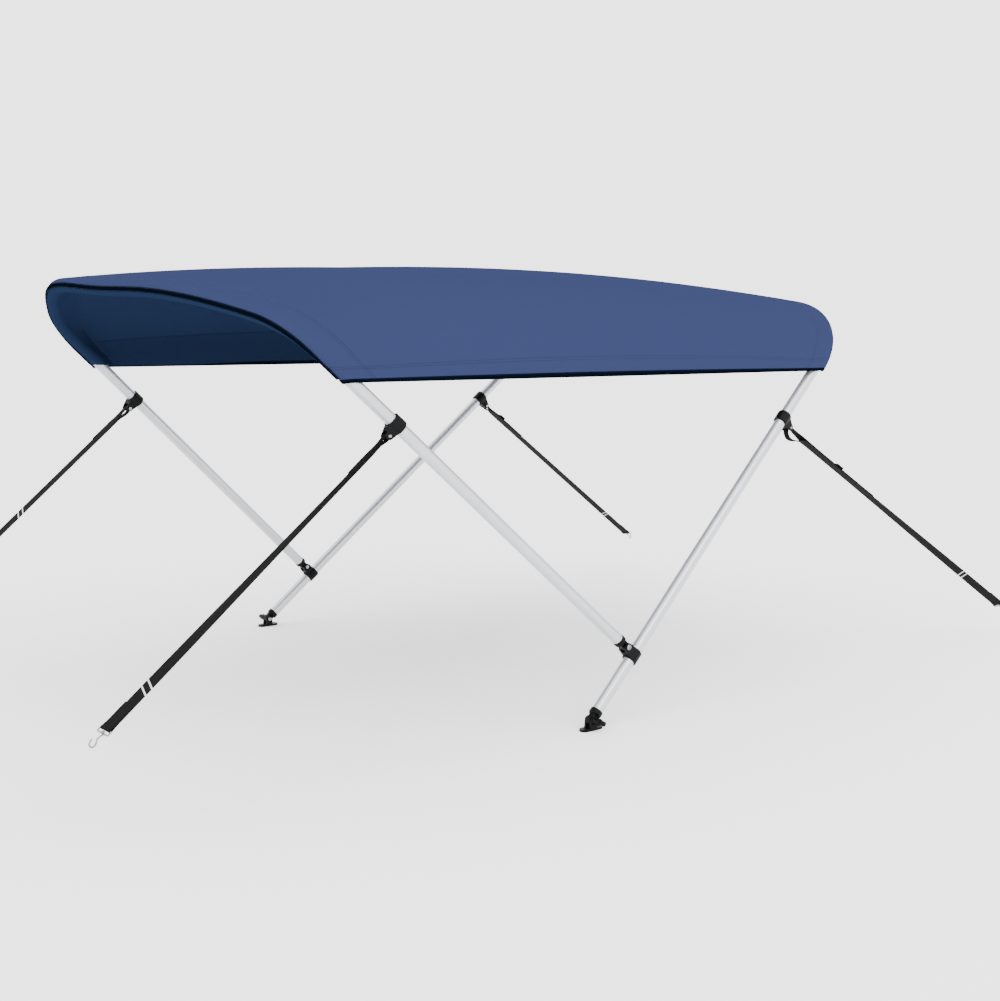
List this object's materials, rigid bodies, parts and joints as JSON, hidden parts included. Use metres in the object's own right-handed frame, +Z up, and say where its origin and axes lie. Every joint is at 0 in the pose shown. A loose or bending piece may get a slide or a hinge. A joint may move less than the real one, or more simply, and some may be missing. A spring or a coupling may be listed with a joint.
{
  "type": "bimini top with folding tube frame",
  "caption": "Bimini top: sewn blue canopy stretched over crossed folding tube bows, with deck hinges, jaw slides and webbing hold-down straps that end in hooks.",
  "frame": {"origin": "on the deck plane, midway between the undersides of the deck hinges' plates", "axes": "+X fore and aft, towards the bow that the deck hinges carry; +Y across, towards the far side in the picture; +Z up from the deck"},
  "size_m": [2.5377, 1.4301, 0.9558],
  "materials": {
    "canvas": "woven, coated, matt",
    "edge_tape": "woven tape, matt",
    "webbing": "woven webbing, matt",
    "tube": "anodised, satin",
    "steel": "polished",
    "moulding": "moulded, satin"
  },
  "bodies": {
    "top": {"canopy": "canvas", "front_sleeve": "canvas", "rear_sleeve": "canvas", "front_binding": "edge_tape", "rear_binding": "edge_tape", "near_hem_binding": "edge_tape", "far_hem_binding": "edge_tape", "main_bow": "tube", "front_bow": "tube", "main_eye_end_near": "moulding", "front_eye_end_near": "moulding", "jaw_slide_near": "moulding", "jaw_screw_near": "steel", "main_eye_end_far": "moulding", "front_eye_end_far": "moulding", "jaw_slide_far": "moulding", "jaw_screw_far": "steel", "strap_clamp_front_near": "moulding", "clamp_bolt_front_near": "steel", "strap_front_near": "webbing", "strap_ring_front_near": "steel", "strap_hook_front_near": "steel", "strap_clamp_front_far": "moulding", "clamp_bolt_front_far": "steel", "strap_front_far": "webbing", "strap_ring_front_far": "steel", "strap_hook_front_far": "steel", "strap_clamp_rear_near": "moulding", "clamp_bolt_rear_near": "steel", "strap_rear_near": "webbing", "slider_rear_near": "moulding", "strap_ring_rear_near": "steel", "strap_hook_rear_near": "steel", "strap_clamp_rear_far": "moulding", "clamp_bolt_rear_far": "steel", "strap_rear_far": "webbing", "slider_rear_far": "moulding", "strap_ring_rear_far": "steel", "strap_hook_rear_far": "steel"},
    "near_base": {"deck_hinge_base_near": "moulding", "deck_hinge_pin_near": "steel", "deck_hinge_knob_near": "moulding"},
    "far_base": {"deck_hinge_base_far": "moulding", "deck_hinge_pin_far": "steel", "deck_hinge_knob_far": "moulding"}
  },
  "joints": [
    {"name": "near_deck_hinge", "type": "hinge", "parent": "top", "child": "near_base", "pos_m": [0, -0.651, 0.02], "axis": [0, 1, 0], "range_deg": [-30, 90]},
    {"name": "far_deck_hinge", "type": "hinge", "parent": "top", "child": "far_base", "pos_m": [0, 0.651, 0.02], "axis": [0, 1, 0], "range_deg": [-30, 90]}
  ]
}
